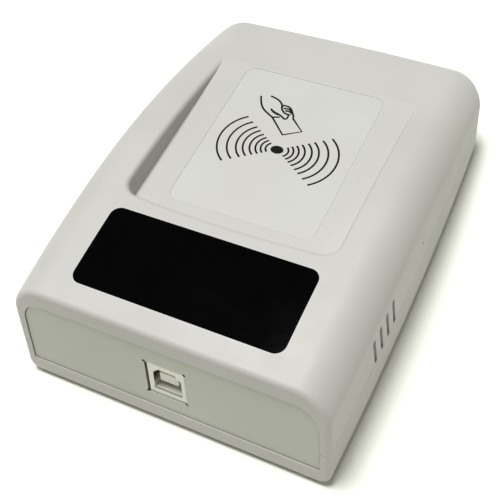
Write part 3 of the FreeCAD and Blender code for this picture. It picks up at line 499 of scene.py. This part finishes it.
board = laminate_board()
print("made", len(bpy.data.materials), "materials in all")

# %% [markdown]
# ## Dressing the solids
# Each CAD piece carries one material slot. Putting a finish on it is only a matter of filling that
# slot, and the shape isn't touched.

# %% Give every piece its finish
finishes = {
    "top_shell": shell_abs,
    "bottom_shell": shell_abs,
    "front_panel": panel_abs,
    "display_window": window_acrylic,
    "window_tape": foam_tape,
    "pad_label": pad_film,
    "rubber_feet": foot_rubber,
    "usb_shell": socket_nickel,
    "usb_housing": liner_nylon,
    "usb_tongue": tongue_nylon,
    "usb_lead": lead_sleeve,
    "microcontroller": chip_epoxy,
    "reader_chip": chip_epoxy,
    "crystal": can_steel,
    "buzzer": black_nylon,
    "voltage_regulator": chip_epoxy,
    "capacitors": can_aluminium,
    "antenna_coil": coil_copper,
    "display_module": display_face,
    "display_segments": milky_resin,
    "status_lamps": lamp_resin,
    "antenna_header": black_nylon,
    "display_header": black_nylon,
}
for name, piece in nodes.items():
    if name.endswith("screws"):
        finishes[name] = screw_zinc
    elif name.endswith("_pins") or name == "usb_contacts":
        finishes[name] = pin_gold
    elif name.endswith("_board"):
        finishes[name] = board
    piece.data.materials.clear()
    piece.data.materials.append(finishes[name])
print("dressed", len(nodes), "pieces")

# %% [markdown]
# ## The printed pictogram
# The pad carries a dot with eight waves on each side, as a sign for a contactless card, and a
# small drawing of a hand with a card. Ink is a very thin layer, so each stroke is a flat ribbon only
# a few hundredths of a millimetre thick.
# A wave is part of a ring. Spinning one short edge about the ring's centre sweeps exactly that ribbon,
# and a last extrusion gives it thickness. The hand is drawn with smooth curves and the card with
# straight lines. Both have a round section that is pressed flat.

# %% Waves and dot
INK_THICKNESS = 0.03
DOT_PLACE = on_unit(0.0, 26.65, label_high.z / MM)
DOT_RADIUS = 2.0
DOT_SEGMENTS = 64
DOT_FLATTENED = 0.73
WAVE_REACH = (3.5, 5.0, 6.6, 8.4, 10.5, 12.6, 15.4, 18.5)
WAVE_RADIUS_SHARE = 0.584
WAVE_HALF_ANGLE = math.radians(57)
STROKE = 0.58
WAVE_STEPS = 40


def finish_piece(bm, name, material):
    """Writes a bmesh, given in millimetres, to a piece that rides on the unit."""
    bmesh.ops.scale(bm, vec=(MM, MM, MM), verts=bm.verts)
    bmesh.ops.recalc_face_normals(bm, faces=bm.faces)
    mesh = bpy.data.meshes.new(name)
    bm.to_mesh(mesh)
    bm.free()
    mesh.materials.append(material)
    piece = bpy.data.objects.new(name, mesh)
    bpy.context.scene.collection.objects.link(piece)
    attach(piece, "root")
    return piece


def thicken(bm, faces):
    """Raises flat ink by its thickness and closes it underneath."""
    risen = bmesh.ops.extrude_face_region(bm, geom=faces, use_keep_orig=True)["geom"]
    verts = [item for item in risen if isinstance(item, bmesh.types.BMVert)]
    bmesh.ops.translate(bm, vec=(0, 0, INK_THICKNESS), verts=verts)


def add_wave(bm, reach, side):
    """One ribbon of a ring whose far side is at the given reach from the dot."""
    radius = reach * WAVE_RADIUS_SHARE
    middle = DOT_PLACE + Vector((side * (reach - radius), 0, 0))
    ends = []
    for offset in (-STROKE / 2, STROKE / 2):
        arm = Vector((side * (radius + offset), 0, 0))
        arm.rotate(Matrix.Rotation(-WAVE_HALF_ANGLE, 3, "Z"))
        ends.append(bm.verts.new(middle + arm))
    edge = bm.edges.new(ends)
    bmesh.ops.spin(
        bm,
        geom=ends + [edge],
        cent=middle,
        axis=(0, 0, 1),
        dvec=(0, 0, 0),
        angle=2 * WAVE_HALF_ANGLE,
        steps=WAVE_STEPS,
        use_merge=False,
        use_duplicate=False,
    )


signs = bmesh.new()
for reach in WAVE_REACH:
    for side in (-1, 1):
        add_wave(signs, reach, side)
bmesh.ops.create_circle(
    signs,
    cap_ends=True,
    segments=DOT_SEGMENTS,
    radius=DOT_RADIUS,
    matrix=Matrix.Translation(DOT_PLACE) @ Matrix.Diagonal((1.0, DOT_FLATTENED, 1.0, 1.0)),
)
thicken(signs, list(signs.faces))
waves = finish_piece(signs, "pad_waves", ink)
print("waves and dot:", len(waves.data.polygons), "faces")

# %% Hand and card
hand_strokes = {
    "arm_left": [(-13.7, 44.7), (-12.8, 42.7), (-11.5, 40.7), (-9.6, 39.2), (-6.7, 37.8)],
    "arm_right": [(-10.8, 45.6), (-9.0, 45.3), (-7.2, 44.5), (-6.0, 43.4), (-5.5, 42.4)],
    "palm": [(-5.9, 43.3), (-5.7, 42.1), (-4.6, 40.9), (-3.3, 40.2), (-1.9, 40.4)],
    "thumb": [
        (-8.4, 40.6), (-7.2, 39.9), (-5.2, 39.5), (-3.9, 38.8), (-2.9, 38.2), (-2.2, 38.7), (-2.4, 40.0),
    ],
    "thumb_fold": [(-8.5, 40.9), (-7.8, 40.0), (-6.5, 39.5), (-5.3, 39.2)],
    "finger_a": [(-5.7, 43.2), (-4.4, 43.4), (-3.1, 43.0), (-2.5, 42.4)],
    "finger_b": [(-5.0, 42.2), (-3.8, 42.4), (-2.6, 42.2), (-1.9, 41.6)],
    "finger_c": [(-4.2, 41.4), (-3.1, 41.6), (-2.0, 41.3), (-1.3, 40.8)],
    "finger_d": [(-2.5, 42.4), (-1.9, 41.7), (-1.3, 40.8), (-0.8, 40.2), (-0.6, 39.3)],
}
card_strokes = {
    "card_near": [(-6.7, 37.8), (-0.9, 32.4), (4.0, 35.4), (-0.6, 39.3)],
    "card_far": [(-6.7, 37.8), (-4.6, 38.6)],
}


def flat_stroke(name, points, width, smooth):
    """A curve with a round section, pressed flat onto the film and turned into a mesh."""
    data = bpy.data.curves.new(name, "CURVE")
    data.dimensions = "3D"
    data.bevel_depth = width / 2
    data.bevel_resolution = 2
    data.use_fill_caps = True
    spline = data.splines.new("NURBS" if smooth else "POLY")
    spline.points.add(len(points) - 1)
    for point, (x, y) in zip(spline.points, points):
        point.co = (x, y, 0.0, 1.0)
    if smooth:
        spline.order_u = 3
        spline.use_endpoint_u = True
    maker = bpy.data.objects.new(name, data)
    mesh = bpy.data.meshes.new_from_object(maker)
    mesh.transform(Matrix.Diagonal((1.0, 1.0, INK_THICKNESS / width, 1.0)))
    mesh.transform(Matrix.Translation(on_unit(0, 0, label_high.z / MM + INK_THICKNESS / 2)))
    bpy.data.objects.remove(maker)
    return mesh


drawing = bmesh.new()
for strokes, smooth in ((hand_strokes, True), (card_strokes, False)):
    for name, points in strokes.items():
        flat = flat_stroke(name, points, STROKE, smooth)
        drawing.from_mesh(flat)
        bpy.data.meshes.remove(flat)
hand = finish_piece(drawing, "pad_hand_and_card", ink)
print("hand and card:", len(hand.data.polygons), "faces")

# %% [markdown]
# ## Floor and light
# A plain pale floor and soft light from above suit a small grey unit: the roof reads brightest, and
# the front and sides fall off gently. A wide lamp overhead gives the direction, a little from the left
# so that the right side stays in shade. It hangs nearly 4 m up, because a lamp that is close by lights
# a pool on the floor and leaves the rest dark. An even sky fills the shadows. Sky and floor are tinted
# a little, so that the shaded faces turn the slight olive that grey ABS shows.

# %% Floor
FLOOR_HALF_WIDTH = 4.0
floor_bm = bmesh.new()
bmesh.ops.create_grid(floor_bm, x_segments=1, y_segments=1, size=FLOOR_HALF_WIDTH)
floor_mesh = bpy.data.meshes.new("floor")
floor_bm.to_mesh(floor_mesh)
floor_bm.free()
floor = bpy.data.objects.new("floor", floor_mesh)
bpy.context.scene.collection.objects.link(floor)
paper, tree = new_material("matt white paper")
paper_place = add(tree, "TexCoord").outputs["Object"]
pulp = {"Vector": paper_place, "Scale": per_mm(1.5), "Detail": 4.0}
fibres = add(tree, "TexNoise", None, pulp).outputs[0]
shades = {0: fibres, 6: linear("#fbfcf4"), 7: linear("#f8f9f1")}
paper_colour = add(tree, "Mix", {"data_type": "RGBA"}, shades).outputs[2]
finish_material(tree, Base_Color=paper_colour, Roughness=0.9, Specular_IOR_Level=0.1)
floor_mesh.materials.append(paper)
print("floor is", round(floor.dimensions.x, 1), "m wide")

# %% Lights
SKY_STRENGTH = 0.24
SKY_TINT = "#fbfbf2"
LAMP_PLACE = (-0.6, 0.39, 3.84)
LAMP_SIZE = 1.35
LAMP_POWER = 158.0
world = bpy.data.worlds.new("soft sky")
world.use_nodes = True
world.node_tree.nodes["Background"].inputs["Color"].default_value = linear(SKY_TINT)
world.node_tree.nodes["Background"].inputs["Strength"].default_value = SKY_STRENGTH
bpy.context.scene.world = world


def softbox(name, place, target, size, power, colour):
    """A square lamp that faces a point."""
    data = bpy.data.lights.new(name, "AREA")
    data.shape = "SQUARE"
    data.size = size
    data.energy = power
    data.color = linear(colour)[:3]
    lamp = bpy.data.objects.new(name, data)
    lamp.location = place
    aim = Vector(target) - Vector(place)
    lamp.rotation_euler = aim.to_track_quat("-Z", "Y").to_euler()
    bpy.context.scene.collection.objects.link(lamp)


softbox("overhead", LAMP_PLACE, (0, 0, 0), LAMP_SIZE, LAMP_POWER, "#ffffff")
bpy.context.scene.view_settings.view_transform = "Standard"
